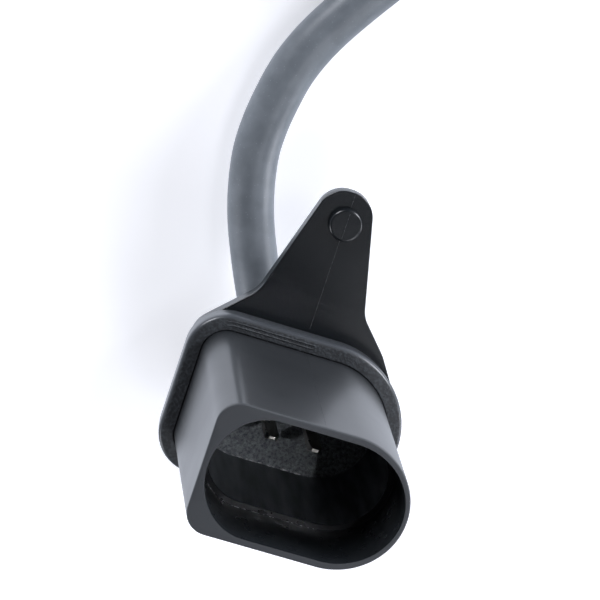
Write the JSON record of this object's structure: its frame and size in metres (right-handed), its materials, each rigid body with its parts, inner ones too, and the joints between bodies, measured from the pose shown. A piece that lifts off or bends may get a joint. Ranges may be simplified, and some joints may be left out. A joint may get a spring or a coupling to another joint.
{
  "type": "brake pad wear sensor",
  "caption": "Brake pad wear sensor: D-shaped two-pin socket connector with a fixing ear and flange seal, a round lead and a clip-on sensing head.",
  "frame": {"origin": "on the surface that the connector's back cover stands on, below the middle of the connector without its lead", "axes": "+Z along the socket, out of its mouth; +X towards the rounded end of the mouth, +Y towards the fixing ear's tip"},
  "size_m": [0.0736, 0.1334, 0.0458],
  "materials": {
    "housing": "satin black glass-filled nylon, moulded",
    "seal": "matt grey-black moulded rubber with a fine spark-eroded grain",
    "tin": "tinned brass, bright at the tips",
    "core_brown": "satin brown wire insulation",
    "core_blue": "satin blue wire insulation",
    "cover": "satin black nylon, moulded",
    "grommet": "matt black rubber, moulded",
    "sheath": "satin dark grey rubber sheath, dusty",
    "head": "satin black plastic, moulded",
    "loop": "varnished copper wire",
    "spring": "bright rolled spring steel"
  },
  "bodies": {
    "root": {"connector_housing": "housing", "flange_seal": "seal", "contact_left": "tin", "contact_right": "tin", "core_left": "core_brown", "core_right": "core_blue", "back_cover": "cover", "cable_grommet": "grommet", "cable": "sheath", "cable_coil": "sheath", "cable_tail": "sheath", "head_sleeve": "grommet", "sensor_head": "head", "wear_loop": "loop", "spring_clip": "spring"}
  },
  "joints": []
}
